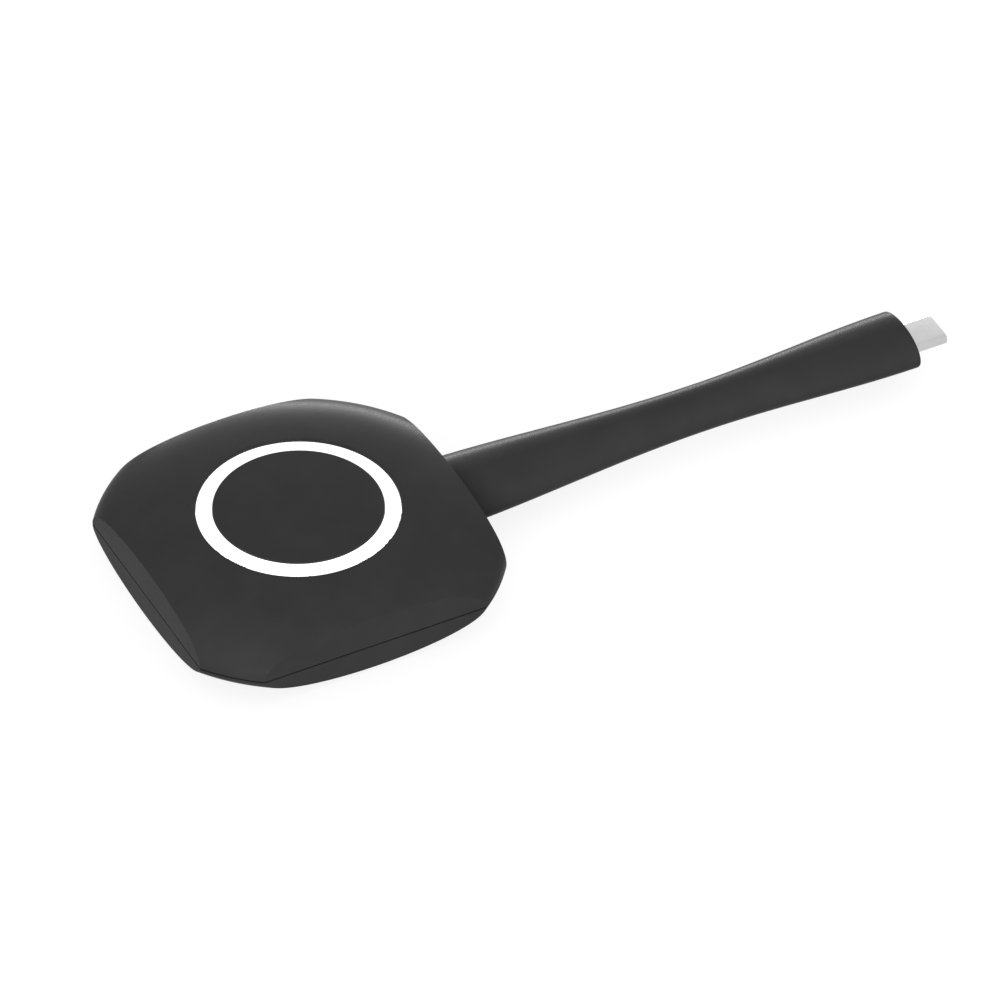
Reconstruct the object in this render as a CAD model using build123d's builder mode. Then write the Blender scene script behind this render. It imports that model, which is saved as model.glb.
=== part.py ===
from build123d import *
import os
from math import cos, pi, sqrt

# Wireless display dongle. A pebble-shaped puck carries a round push-button inside a ring of light,
# and a flexible stem leads to a flat reversible data plug. Millimetres, +X along the stem, +Z up.
# The origin is under the middle of the puck, on the face that the puck rests on.

os.makedirs("parts", exist_ok=True)

# Puck
PUCK_FLAT = 69.7
PUCK_ROUND = 85.9
CROWN_RISE = 10.6
CROWN_FULLNESS = 0.69
UNDER_DROP = 9.8
UNDER_FULLNESS = 0.55
BASE_DEPTH = 6.2
WALL = 1.8
LIP = 0.85
LIP_HEIGHT = 1.2
SEAM_GROOVE = 0.35
FIT = 0.1

# Foot pad
PAD_DIAMETER = 58.0
PAD_THICK = 1.0
PAD_PROUD = 0.5
PAD_EDGE = 0.3

# Screws that close the puck, and the posts that they run in
SCREW_DIAMETER = 2.0
SCREW_LENGTH = 8.0
SCREW_FIT = 0.03
HEAD_DIAMETER = 3.8
HEAD_HEIGHT = 1.2
DRIVE_WIDTH = 0.5
DRIVE_SPAN = 2.2
DRIVE_DEPTH = 0.6
POST_DIAMETER = 5.6
POST_GAP = 0.3
GUSSET_THICK = 1.0
GUSSET_SPAN = 11.2

# Board, what is stacked under it, and what stands on it
BOARD_SIZE = 57.0
BOARD_ROUND = 75.0
BOARD_THICK = 1.0
SPREADER_LENGTH = 44.0
SPREADER_WIDTH = 30.0
SPREADER_THICK = 0.4
THERMAL_PAD_THICK = 0.4
SOC_SIZE = 14.0
SOC_THICK = 1.0
MEMORY_LENGTH = 8.0
MEMORY_WIDTH = 10.0
MEMORY_THICK = 0.9
MEMORY_PITCH = 11.0
FLASH_LENGTH = 11.5
FLASH_WIDTH = 13.0
CHIP_GAP = 1.2
CHIP_CORNER = 0.6
RADIO_LENGTH = 11.0
RADIO_WIDTH = 12.0
RADIO_THICK = 0.8
RADIO_GAP = 0.4
SHIELD_MARGIN = 0.5
SHIELD_HEIGHT = 1.6
SHIELD_WALL = 0.2
COIL_SIZE = 4.0
COIL_CORNER = 1.0
COIL_HEIGHT = 2.0
COIL_Y = 10.5
DRIVER_SIZE = 5.0
DRIVER_THICK = 0.9
DRIVER_X = 8.5
DRIVER_Y = 8.0
CRYSTAL_LENGTH = 3.2
CRYSTAL_WIDTH = 2.5
CRYSTAL_HEIGHT = 0.8
CRYSTAL_X = -8.3
CRYSTAL_Y = 8.4
PASSIVE_LENGTH = 1.0
PASSIVE_WIDTH = 0.5
PASSIVE_PITCH = 1.8
PASSIVE_COLUMNS = 4
PASSIVE_ROWS = 3
PASSIVE_Y = 8.4
ANTENNA_LENGTH = 16.0
ANTENNA_HEIGHT = 5.0
ANTENNA_THICK = 0.4
ANTENNA_INSET = 1.4
ANTENNA_FOOT = 2.0
ANTENNA_FOOT_PITCH = 8.0

# Light ring, reflector and lamps. Heights are over the parting plane.
RING_DIAMETER = 42.0
RING_WIDTH = 3.2
RING_INNER_EDGE = 10.3
RING_OUTER_EDGE = 9.65
RING_FLANGE = 2.2
RING_FLANGE_THICK = 1.2
RING_DEPTH = 4.1
REFLECTOR_WALL = 1.3
REFLECTOR_ROOM = 0.15
CELL_WALL = 0.8
CELL_DEPTH = 2.5
LED_COUNT = 12
LED_LENGTH = 1.4
LED_WIDTH = 3.0
LED_HEIGHT = 0.8

# Button and the switch under it
BUTTON_GAP = 0.15
BUTTON_EDGE = 10.35
BUTTON_CROWN = 10.9
BUTTON_THICK = 1.8
BUTTON_ROUND = 0.4
BUTTON_SKIRT = 1.4
SKIRT_DEPTH = 5.2
RIB_COUNT = 6
RIB_THICK = 1.0
RIB_DEPTH = 1.5
BOSS_DIAMETER = 5.0
HOOK_COUNT = 3
HOOK_ANGLE = 26.0
HOOK_REACH = 0.85
HOOK_HEIGHT = 0.9
HOOK_LEDGE = 1.1
HOOK_ROOM = 0.25
PUSH_ROOM = 0.3
TRAVEL = 0.5
PRETRAVEL = 0.05
SWITCH_SIZE = 6.2
SWITCH_BODY = 3.5
SWITCH_HEIGHT = 7.0
SWITCH_WALL = 0.6
PLUNGER_DIAMETER = 3.5
PLUNGER_COLLAR = 4.6
COLLAR_THICK = 0.9
PLUNGER_FIT = 0.05
TERMINAL_LENGTH = 0.7
TERMINAL_WIDTH = 0.8
TERMINAL_THICK = 0.3
TERMINAL_PITCH = 4.5

# Stem
STEM_RISE = 0.5
STEM_END = 140.6
STEM_CROWN = 1.0
CROWN_RINGS = 4
ROOT_WIDTH = 19.8
ROOT_THICK = 9.9
ROOT_AT = 26.0
WAIST_WIDTH = 11.5
WAIST_THICK = 8.4
WAIST_AT = 93.0
END_WIDTH = 16.7
END_THICK = 8.9
STEM_SPANS = 7
NECK_WIDTH = 15.0
NECK_THICK = 6.8
FLANGE_WIDTH = 19.0
FLANGE_THICK = 8.2
FLANGE_CORNER = 2.5
FLANGE_LENGTH = 3.0
BRACE_THICK = 1.2
BRACE_WIDTH = 24.0
CABLE_DIAMETER = 4.0
CABLE_FIT = 0.05
NOTCH_ROOM = 0.5
HEADER_LENGTH = 5.0
HEADER_WIDTH = 9.0
HEADER_HEIGHT = 4.2
HEADER_WALL = 0.9
CONNECTOR_LENGTH = 4.4
CONNECTOR_WIDTH = 8.0
CONNECTOR_HEIGHT = 3.6
CONNECTOR_ROOM = 1.55

# Plug
PLUG_TIP = 149.2
PLUG_LENGTH = 11.2
PLUG_WIDTH = 8.25
PLUG_HEIGHT = 2.4
PLUG_CORNER = 1.0
PLUG_WALL = 0.3
PLUG_FIT = 0.03
SLOT_WIDTH = 6.8
SLOT_HEIGHT = 0.9
SLOT_DEPTH = 6.2
INSULATOR_INSET = 0.3
CONTACT_COUNT = 12
CONTACT_PITCH = 0.5
CONTACT_WIDTH = 0.25
CONTACT_THICK = 0.15
CONTACT_INSET = 1.3
CONTACT_TAIL = 1.5
LATCH_LENGTH = 7.0
LATCH_HEIGHT = 0.6
LATCH_THICK = 0.2
PADDLE_LENGTH = 11.0
PADDLE_WIDTH = 7.0
PADDLE_THICK = 0.7
CAN_LENGTH = 13.0
CAN_WIDTH = 9.0
CAN_HEIGHT = 3.4
CAN_WALL = 0.25
CAN_LAP = 1.0
MOULD_LENGTH = 15.0
MOULD_WIDTH = 10.4
MOULD_HEIGHT = 4.7
MOULD_CORNER = 1.4
MOULD_INSET = 1.0

# Heights and places that follow from the sizes
SEAM_Z = BASE_DEPTH + PAD_PROUD
FLOOR_Z = PAD_PROUD + WALL
SPREADER_TOP = FLOOR_Z + SPREADER_THICK
SOC_UNDER = SPREADER_TOP + THERMAL_PAD_THICK
BOARD_UNDER = SOC_UNDER + SOC_THICK
BOARD_TOP = BOARD_UNDER + BOARD_THICK
ABOVE_ALL = SEAM_Z + 2 * CROWN_RISE
FLAT_X = PUCK_FLAT / 2
HEAD_TOP = PAD_THICK + FIT + HEAD_HEIGHT
CABLE_Z = SEAM_Z + STEM_RISE
RING_UNDER = SEAM_Z + RING_INNER_EDGE - RING_DEPTH
RING_OUTSIDE = RING_DIAMETER + 2 * RING_FLANGE
RING_BORE = RING_DIAMETER - 2 * RING_WIDTH
REFLECTOR_BORE = RING_BORE + 2 * REFLECTOR_ROOM
BUTTON_DIAMETER = RING_BORE - 2 * BUTTON_GAP
LEDGE_Z = RING_UNDER - HOOK_LEDGE
HOOK_TOP = LEDGE_Z - FIT
HOOK_UNDER = HOOK_TOP - HOOK_HEIGHT
BUTTON_UNDER = SEAM_Z + BUTTON_CROWN - BUTTON_THICK
SKIRT_UNDER = SEAM_Z + BUTTON_EDGE - SKIRT_DEPTH
PLUNGER_TOP = BOARD_TOP + SWITCH_HEIGHT
COLLAR_TOP = BOARD_TOP + SWITCH_BODY - SWITCH_WALL - PLUNGER_FIT
LED_ORBIT = (RING_OUTSIDE + REFLECTOR_BORE) / 4
HEADER_X = REFLECTOR_BORE / 2 - CONNECTOR_ROOM - CONNECTOR_LENGTH - HEADER_LENGTH
RADIO_X = -(SWITCH_SIZE + RADIO_LENGTH) / 2 - RADIO_GAP
FLANGE_X = FLAT_X - WALL - FIT - FLANGE_LENGTH
BRACE_X = FLANGE_X - FIT - BRACE_THICK
STEM_ROOT = FLAT_X + FIT
PLUG_ROOT = PLUG_TIP - PLUG_LENGTH
MOULD_X = STEM_END - MOULD_INSET - MOULD_LENGTH
CAN_X = PLUG_ROOT + CAN_LAP - CAN_LENGTH
SEAM_XZ = Plane(origin=(0, 0, SEAM_Z), x_dir=(1, 0, 0), z_dir=(0, -1, 0))
POST_ORBIT = (RING_OUTSIDE + POST_DIAMETER) / 2 + POST_GAP
POSTS = GridLocations(POST_ORBIT * sqrt(2), POST_ORBIT * sqrt(2), 2, 2)


def across(x, z):
    """The plane across the dongle at x, with its middle at height z."""
    return Plane(origin=(x, 0, z), x_dir=(0, 1, 0), z_dir=(1, 0, 0))


def pebble(inset):
    """The puck as a solid pebble with four flat sides, drawn in by inset all round."""
    reach = PUCK_ROUND / 2 - inset
    rise = CROWN_RISE - inset
    drop = UNDER_DROP - inset
    over = CROWN_FULLNESS
    under = UNDER_FULLNESS
    with BuildPart() as form:
        with BuildSketch(SEAM_XZ):
            with BuildLine():
                Bezier((0, rise), (over * reach, rise), (reach, over * rise), (reach, 0))
                Bezier((reach, 0), (reach, -under * drop), (under * reach, -drop), (0, -drop))
                Line((0, -drop), (0, rise))
            make_face()
        revolve(axis=Axis.Z)
        split(bisect_by=Plane.XY.offset(PAD_PROUD + inset), keep=Keep.TOP)
        with BuildSketch(Plane.XY):
            Rectangle(PUCK_FLAT - 2 * inset, PUCK_FLAT - 2 * inset)
        extrude(amount=ABOVE_ALL, mode=Mode.INTERSECT)
    return form.part


def pebble_slice(inset, low, high):
    """The part of the drawn-in pebble between two heights."""
    whole = pebble(inset)
    with BuildPart() as layer:
        with BuildSketch(Plane.XY.offset(low)):
            Rectangle(2 * PUCK_ROUND, 2 * PUCK_ROUND)
        extrude(amount=high - low)
        add(whole, mode=Mode.INTERSECT)
    return layer.part


def eased(share):
    """A smooth step from 0 to 1."""
    return (1 - cos(pi * share)) / 2


def stem_size(x, root, waist, end):
    """The stem's width or thickness at x: it narrows from the root to the waist and widens again."""
    if x < WAIST_AT:
        return waist + (root - waist) * eased((WAIST_AT - x) / (WAIST_AT - ROOT_AT))
    return waist + (end - waist) * eased((x - WAIST_AT) / (STEM_END - WAIST_AT))


def chip_outline(length, width):
    """A chip package from above, with its first-pin corner cut off."""
    with BuildSketch() as outline:
        Rectangle(length, width)
        with Locations((-length / 2, width / 2)):
            Rectangle(CHIP_CORNER, CHIP_CORNER, rotation=45, mode=Mode.SUBTRACT)
    return outline.sketch


hollow = pebble(WALL)
core = pebble(WALL / 2)
upper_skin = pebble_slice(0, SEAM_Z + SEAM_GROOVE / 2, ABOVE_ALL)
upper_rebate = pebble_slice(WALL - LIP, SEAM_Z - LIP_HEIGHT, SEAM_Z + LIP_HEIGHT + FIT)
lower_skin = pebble_slice(0, 0, SEAM_Z - SEAM_GROOVE / 2)
lower_lip = pebble_slice(WALL - LIP + FIT, SEAM_Z - LIP_HEIGHT, SEAM_Z + LIP_HEIGHT)

# The hole in the puck's side that the stem's neck passes through
with BuildPart() as neck_hole:
    with BuildSketch(across(FLAT_X - 2 * WALL, CABLE_Z)):
        Ellipse(NECK_WIDTH / 2 + FIT, NECK_THICK / 2 + FIT)
    extrude(amount=3 * WALL)

# The cross brace that holds the stem's flange against the side, notched for the cable
with BuildPart() as brace:
    with BuildSketch(across(BRACE_X, CABLE_Z)):
        Rectangle(BRACE_WIDTH, 2 * ABOVE_ALL)
        Circle(CABLE_DIAMETER / 2 + FIT, mode=Mode.SUBTRACT)
    extrude(amount=BRACE_THICK)

with BuildPart() as upper_brace:
    add(brace.part)
    split(bisect_by=Plane.XY.offset(SEAM_Z + FIT), keep=Keep.TOP)

with BuildPart() as lower_brace:
    add(brace.part)
    split(bisect_by=Plane.XY.offset(SEAM_Z - FIT), keep=Keep.BOTTOM)

with BuildPart() as upper_shell:
    add(upper_skin)
    add(hollow, mode=Mode.SUBTRACT)
    add(upper_rebate, mode=Mode.SUBTRACT)

with BuildPart() as lower_shell:
    add(lower_skin)
    add(lower_lip)
    add(hollow, mode=Mode.SUBTRACT)

# Top housing: a moulded shell with gusseted posts for the screws and an opening for the light ring
with BuildPart() as top_housing:
    with BuildSketch(Plane.XY.offset(BOARD_TOP)):
        with POSTS:
            Circle(POST_DIAMETER / 2)
    extrude(amount=ABOVE_ALL - BOARD_TOP)
    with BuildSketch(Plane.XY.offset(SEAM_Z + LIP_HEIGHT)):
        with POSTS:
            Rectangle(GUSSET_SPAN, GUSSET_THICK)
            Rectangle(GUSSET_THICK, GUSSET_SPAN)
    extrude(amount=ABOVE_ALL - SEAM_Z)
    with BuildSketch(Plane.XY.offset(BOARD_TOP)):
        Circle(RING_OUTSIDE / 2 + FIT)
    extrude(amount=ABOVE_ALL - BOARD_TOP, mode=Mode.SUBTRACT)
    add(upper_brace.part)
    add(core, mode=Mode.INTERSECT)
    add(upper_shell.part)
    with BuildSketch(Plane.XY.offset(SEAM_Z)):
        Circle(RING_DIAMETER / 2 + FIT)
    extrude(amount=ABOVE_ALL, mode=Mode.SUBTRACT)
    with BuildSketch(Plane.XY.offset(BOARD_TOP)):
        with POSTS:
            Circle(SCREW_DIAMETER / 2 + SCREW_FIT)
    extrude(amount=SCREW_LENGTH, mode=Mode.SUBTRACT)
    add(neck_hole.part, mode=Mode.SUBTRACT)
top_housing.part.label = "top_housing"
export_step(top_housing.part, "parts/top_housing.step")

# Bottom housing: the lower shell, with the lip that fits inside the top housing, the sleeves that
# carry the board, the screws' head wells and the shallow well of the foot pad
with BuildPart() as bottom_housing:
    with BuildSketch(Plane.XY.offset(PAD_THICK)):
        with POSTS:
            Circle(POST_DIAMETER / 2)
    extrude(amount=BOARD_UNDER - PAD_THICK)
    add(lower_brace.part)
    add(core, mode=Mode.INTERSECT)
    add(lower_shell.part)
    with BuildSketch(Plane.XY):
        Circle(PAD_DIAMETER / 2 + FIT)
    extrude(amount=PAD_THICK, mode=Mode.SUBTRACT)
    with BuildSketch(Plane.XY):
        with POSTS:
            Circle(HEAD_DIAMETER / 2 + FIT)
    extrude(amount=HEAD_TOP, mode=Mode.SUBTRACT)
    with BuildSketch(Plane.XY):
        with POSTS:
            Circle(SCREW_DIAMETER / 2 + FIT)
    extrude(amount=BOARD_TOP, mode=Mode.SUBTRACT)
    add(neck_hole.part, mode=Mode.SUBTRACT)
bottom_housing.part.label = "bottom_housing"
export_step(bottom_housing.part, "parts/bottom_housing.step")

# Foot pad: a soft disc glued into the well, which hides the screws
with BuildPart() as foot_pad:
    with BuildSketch(Plane.XY):
        Circle(PAD_DIAMETER / 2)
    extrude(amount=PAD_THICK)
    chamfer(foot_pad.faces().sort_by(Axis.Z)[0].edges(), PAD_EDGE)
foot_pad.part.label = "foot_pad"
export_step(foot_pad.part, "parts/foot_pad.step")

# Housing screws: four, up through the sleeves and the board into the posts
with BuildPart() as housing_screws:
    with BuildSketch(Plane.XY.offset(HEAD_TOP - HEAD_HEIGHT)):
        with POSTS:
            Circle(HEAD_DIAMETER / 2)
    extrude(amount=HEAD_HEIGHT)
    with BuildSketch(Plane.XY.offset(HEAD_TOP)):
        with POSTS:
            Circle(SCREW_DIAMETER / 2)
    extrude(amount=SCREW_LENGTH)
    with BuildSketch(Plane.XY.offset(HEAD_TOP - HEAD_HEIGHT)):
        with POSTS:
            Rectangle(DRIVE_SPAN, DRIVE_WIDTH)
            Rectangle(DRIVE_WIDTH, DRIVE_SPAN)
    extrude(amount=DRIVE_DEPTH, mode=Mode.SUBTRACT)
housing_screws.part.label = "housing_screws"
export_step(housing_screws.part, "parts/housing_screws.step")

# Light ring: a translucent ring whose flange sits under the edge of the opening
with BuildPart() as light_ring:
    with BuildSketch(SEAM_XZ):
        with BuildLine():
            Polyline(
                (RING_BORE / 2, RING_INNER_EDGE - RING_DEPTH),
                (RING_BORE / 2, RING_INNER_EDGE),
                (RING_DIAMETER / 2, RING_OUTER_EDGE),
                (RING_DIAMETER / 2, RING_INNER_EDGE - RING_DEPTH + RING_FLANGE_THICK),
                (RING_OUTSIDE / 2, RING_INNER_EDGE - RING_DEPTH + RING_FLANGE_THICK),
                (RING_OUTSIDE / 2, RING_INNER_EDGE - RING_DEPTH),
                close=True,
            )
        make_face()
    revolve(axis=Axis.Z)
light_ring.part.label = "light_ring"
export_step(light_ring.part, "parts/light_ring.step")

# Reflector: a white frame that stands on the board and carries the light ring. Its webs divide the
# lamps into cells, and the groove in its bore holds the button's hooks.
with BuildPart() as led_reflector:
    with BuildSketch(Plane.XY.offset(BOARD_TOP)):
        Circle(RING_OUTSIDE / 2)
        Circle(REFLECTOR_BORE / 2, mode=Mode.SUBTRACT)
    extrude(amount=RING_UNDER - BOARD_TOP)
    with BuildSketch(Plane.XY.offset(BOARD_TOP)):
        Circle(RING_OUTSIDE / 2 - REFLECTOR_WALL)
        Circle(REFLECTOR_BORE / 2 + REFLECTOR_WALL, mode=Mode.SUBTRACT)
        with PolarLocations(LED_ORBIT, LED_COUNT):
            Rectangle(2 * REFLECTOR_WALL + RING_FLANGE, CELL_WALL, mode=Mode.SUBTRACT)
    extrude(amount=CELL_DEPTH, mode=Mode.SUBTRACT)
    with BuildSketch(Plane.XY.offset(BOARD_TOP + CELL_DEPTH)):
        Circle(RING_OUTSIDE / 2 - REFLECTOR_WALL)
        Circle(REFLECTOR_BORE / 2 + REFLECTOR_WALL, mode=Mode.SUBTRACT)
    extrude(amount=RING_UNDER - BOARD_TOP, mode=Mode.SUBTRACT)
    with BuildSketch(Plane.XY.offset(HOOK_UNDER - TRAVEL - PUSH_ROOM)):
        Circle(BUTTON_DIAMETER / 2 + HOOK_REACH + HOOK_ROOM)
    extrude(amount=LEDGE_Z - HOOK_UNDER + TRAVEL + PUSH_ROOM, mode=Mode.SUBTRACT)
    with BuildSketch(across(0, BOARD_TOP)):
        Rectangle(CABLE_DIAMETER + 2 * NOTCH_ROOM, 2 * (CABLE_Z + CABLE_DIAMETER / 2 + FIT - BOARD_TOP))
    extrude(amount=RING_OUTSIDE, mode=Mode.SUBTRACT)
led_reflector.part.label = "led_reflector"
export_step(led_reflector.part, "parts/led_reflector.step")

# Lamps: one in each cell of the reflector
with BuildPart() as ring_leds:
    with BuildSketch(Plane.XY.offset(BOARD_TOP)):
        with PolarLocations(LED_ORBIT, LED_COUNT, start_angle=180 / LED_COUNT):
            Rectangle(LED_LENGTH, LED_WIDTH)
    extrude(amount=LED_HEIGHT)
ring_leds.part.label = "ring_leds"
export_step(ring_leds.part, "parts/ring_leds.step")

# Button: a crowned cap with a skirt that slides in the light ring, three hooks that hold it in the
# reflector, and ribs and a boss underneath that press the switch
with BuildPart() as button_cap:
    with BuildSketch(SEAM_XZ) as half:
        with BuildLine():
            TangentArc((0, BUTTON_CROWN), (BUTTON_DIAMETER / 2, BUTTON_EDGE), tangent=(1, 0))
            Polyline(
                (BUTTON_DIAMETER / 2, BUTTON_EDGE),
                (BUTTON_DIAMETER / 2, BUTTON_EDGE - SKIRT_DEPTH),
                (BUTTON_DIAMETER / 2 - BUTTON_SKIRT, BUTTON_EDGE - SKIRT_DEPTH),
                (BUTTON_DIAMETER / 2 - BUTTON_SKIRT, BUTTON_CROWN - BUTTON_THICK),
                (0, BUTTON_CROWN - BUTTON_THICK),
                (0, BUTTON_CROWN),
            )
        make_face()
        fillet(half.vertices().group_by(Axis.X)[-1].sort_by(Axis.Y)[-1], BUTTON_ROUND)
    revolve(axis=Axis.Z)
    with BuildSketch(Plane.XY.offset(BUTTON_UNDER - RIB_DEPTH)):
        with PolarLocations(0, RIB_COUNT):
            Rectangle(BUTTON_DIAMETER / 2 - BUTTON_SKIRT / 2, RIB_THICK, align=(Align.MIN, Align.CENTER))
    extrude(amount=RIB_DEPTH + FIT)
    with BuildSketch(Plane.XY.offset(PLUNGER_TOP + PRETRAVEL)):
        Circle(BOSS_DIAMETER / 2)
    extrude(amount=BUTTON_UNDER + FIT - PLUNGER_TOP - PRETRAVEL)
    for hook in range(HOOK_COUNT):
        side = SEAM_XZ.rotated((0, 0, (hook + 0.5) * 360 / HOOK_COUNT - HOOK_ANGLE / 2))
        with BuildSketch(side):
            with BuildLine():
                Polyline(
                    (BUTTON_DIAMETER / 2 - BUTTON_SKIRT, SKIRT_UNDER + FIT - SEAM_Z),
                    (BUTTON_DIAMETER / 2, SKIRT_UNDER + FIT - SEAM_Z),
                    (BUTTON_DIAMETER / 2, HOOK_TOP - SEAM_Z),
                    (BUTTON_DIAMETER / 2 + HOOK_REACH, HOOK_TOP - SEAM_Z),
                    (BUTTON_DIAMETER / 2, HOOK_UNDER - SEAM_Z),
                    (BUTTON_DIAMETER / 2 - BUTTON_SKIRT, HOOK_UNDER - SEAM_Z),
                    close=True,
                )
            make_face()
        revolve(axis=Axis.Z, revolution_arc=HOOK_ANGLE)
button_cap.part.label = "button_cap"
export_step(button_cap.part, "parts/button_cap.step")

# Switch: a square body on the board, with four solder terminals and a bore for the plunger
with BuildPart() as switch_body:
    with BuildSketch(Plane.XY.offset(BOARD_TOP)):
        Rectangle(SWITCH_SIZE, SWITCH_SIZE)
    extrude(amount=SWITCH_BODY)
    with BuildSketch(Plane.XY.offset(BOARD_TOP)):
        with GridLocations(TERMINAL_PITCH, SWITCH_SIZE + TERMINAL_LENGTH, 2, 2):
            Rectangle(TERMINAL_WIDTH, TERMINAL_LENGTH)
    extrude(amount=TERMINAL_THICK)
    with BuildSketch(Plane.XY.offset(BOARD_TOP + SWITCH_WALL)):
        Circle(PLUNGER_COLLAR / 2 + PLUNGER_FIT)
    extrude(amount=SWITCH_BODY - 2 * SWITCH_WALL, mode=Mode.SUBTRACT)
    with BuildSketch(Plane.XY.offset(BOARD_TOP + SWITCH_WALL)):
        Circle(PLUNGER_DIAMETER / 2 + PLUNGER_FIT)
    extrude(amount=SWITCH_BODY, mode=Mode.SUBTRACT)
switch_body.part.label = "switch_body"
export_step(switch_body.part, "parts/switch_body.step")

# Plunger: the stem of the switch, kept in by its collar
with BuildPart() as switch_plunger:
    with BuildSketch(Plane.XY.offset(COLLAR_TOP - COLLAR_THICK)):
        Circle(PLUNGER_COLLAR / 2)
    extrude(amount=COLLAR_THICK)
    with BuildSketch(Plane.XY.offset(COLLAR_TOP)):
        Circle(PLUNGER_DIAMETER / 2)
    extrude(amount=PLUNGER_TOP - COLLAR_TOP)
switch_plunger.part.label = "switch_plunger"
export_step(switch_plunger.part, "parts/switch_plunger.step")

# Main board: a square with rounded corners, clamped between the sleeves and the posts
with BuildPart() as main_board:
    with BuildSketch(Plane.XY.offset(BOARD_UNDER)):
        Rectangle(BOARD_SIZE, BOARD_SIZE)
        Circle(BOARD_ROUND / 2, mode=Mode.INTERSECT)
        with POSTS:
            Circle(SCREW_DIAMETER / 2 + FIT, mode=Mode.SUBTRACT)
    extrude(amount=BOARD_THICK)
main_board.part.label = "main_board"
export_step(main_board.part, "parts/main_board.step")

# Processor and its heat path, under the board
soc_outline = chip_outline(SOC_SIZE, SOC_SIZE)
with BuildPart() as soc_chip:
    with BuildSketch(Plane.XY.offset(SOC_UNDER)):
        add(soc_outline)
    extrude(amount=SOC_THICK)
soc_chip.part.label = "soc_chip"
export_step(soc_chip.part, "parts/soc_chip.step")

with BuildPart() as thermal_pad:
    with BuildSketch(Plane.XY.offset(SPREADER_TOP)):
        Rectangle(SOC_SIZE, SOC_SIZE)
    extrude(amount=THERMAL_PAD_THICK)
thermal_pad.part.label = "thermal_pad"
export_step(thermal_pad.part, "parts/thermal_pad.step")

with BuildPart() as heat_spreader:
    with BuildSketch(Plane.XY.offset(FLOOR_Z)):
        Rectangle(SPREADER_LENGTH, SPREADER_WIDTH)
    extrude(amount=SPREADER_THICK)
heat_spreader.part.label = "heat_spreader"
export_step(heat_spreader.part, "parts/heat_spreader.step")

# Memory and flash chips, beside the processor
memory_x = -(SOC_SIZE + MEMORY_LENGTH) / 2 - CHIP_GAP
memory_outline = chip_outline(MEMORY_LENGTH, MEMORY_WIDTH)
with BuildPart() as memory_chips:
    with BuildSketch(Plane.XY.offset(BOARD_UNDER - MEMORY_THICK)):
        with Locations((memory_x, -MEMORY_PITCH / 2), (memory_x, MEMORY_PITCH / 2)):
            add(memory_outline)
    extrude(amount=MEMORY_THICK)
memory_chips.part.label = "memory_chips"
export_step(memory_chips.part, "parts/memory_chips.step")

flash_x = (SOC_SIZE + FLASH_LENGTH) / 2 + CHIP_GAP
flash_outline = chip_outline(FLASH_LENGTH, FLASH_WIDTH)
with BuildPart() as flash_chip:
    with BuildSketch(Plane.XY.offset(BOARD_UNDER - MEMORY_THICK)):
        with Locations((flash_x, 0)):
            add(flash_outline)
    extrude(amount=MEMORY_THICK)
flash_chip.part.label = "flash_chip"
export_step(flash_chip.part, "parts/flash_chip.step")

# Radio module and its shield, inside the reflector's bore
with BuildPart() as radio_module:
    with BuildSketch(Plane.XY.offset(BOARD_TOP)):
        with Locations((RADIO_X, 0)):
            Rectangle(RADIO_LENGTH, RADIO_WIDTH)
    extrude(amount=RADIO_THICK)
radio_module.part.label = "radio_module"
export_step(radio_module.part, "parts/radio_module.step")

shield_length = RADIO_LENGTH - 2 * SHIELD_MARGIN
shield_width = RADIO_WIDTH - 2 * SHIELD_MARGIN
with BuildPart() as radio_shield:
    with BuildSketch(Plane.XY.offset(BOARD_TOP + RADIO_THICK)):
        with Locations((RADIO_X, 0)):
            Rectangle(shield_length, shield_width)
    extrude(amount=SHIELD_HEIGHT)
    with BuildSketch(Plane.XY.offset(BOARD_TOP + RADIO_THICK)):
        with Locations((RADIO_X, 0)):
            Rectangle(shield_length - 2 * SHIELD_WALL, shield_width - 2 * SHIELD_WALL)
    extrude(amount=SHIELD_HEIGHT - SHIELD_WALL, mode=Mode.SUBTRACT)
radio_shield.part.label = "radio_shield"
export_step(radio_shield.part, "parts/radio_shield.step")

# Power coils, driver chips, crystal and passives, on top of the board
with BuildPart() as power_coils:
    with BuildSketch(Plane.XY.offset(BOARD_TOP)):
        with Locations((0, -COIL_Y), (0, COIL_Y)):
            RectangleRounded(COIL_SIZE, COIL_SIZE, COIL_CORNER)
    extrude(amount=COIL_HEIGHT)
power_coils.part.label = "power_coils"
export_step(power_coils.part, "parts/power_coils.step")

driver_outline = chip_outline(DRIVER_SIZE, DRIVER_SIZE)
with BuildPart() as driver_chips:
    with BuildSketch(Plane.XY.offset(BOARD_TOP)):
        with Locations((DRIVER_X, -DRIVER_Y), (DRIVER_X, DRIVER_Y)):
            add(driver_outline)
    extrude(amount=DRIVER_THICK)
driver_chips.part.label = "driver_chips"
export_step(driver_chips.part, "parts/driver_chips.step")

with BuildPart() as crystal:
    with BuildSketch(Plane.XY.offset(BOARD_TOP)):
        with Locations((CRYSTAL_X, CRYSTAL_Y)):
            Rectangle(CRYSTAL_LENGTH, CRYSTAL_WIDTH)
    extrude(amount=CRYSTAL_HEIGHT)
crystal.part.label = "crystal"
export_step(crystal.part, "parts/crystal.step")

with BuildPart() as passives:
    with BuildSketch(Plane.XY.offset(BOARD_TOP)):
        with Locations((CRYSTAL_X, -PASSIVE_Y)):
            with GridLocations(PASSIVE_PITCH, PASSIVE_PITCH, PASSIVE_COLUMNS, PASSIVE_ROWS):
                Rectangle(PASSIVE_LENGTH, PASSIVE_WIDTH)
    extrude(amount=PASSIVE_WIDTH)
passives.part.label = "passives"
export_step(passives.part, "parts/passives.step")

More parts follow.
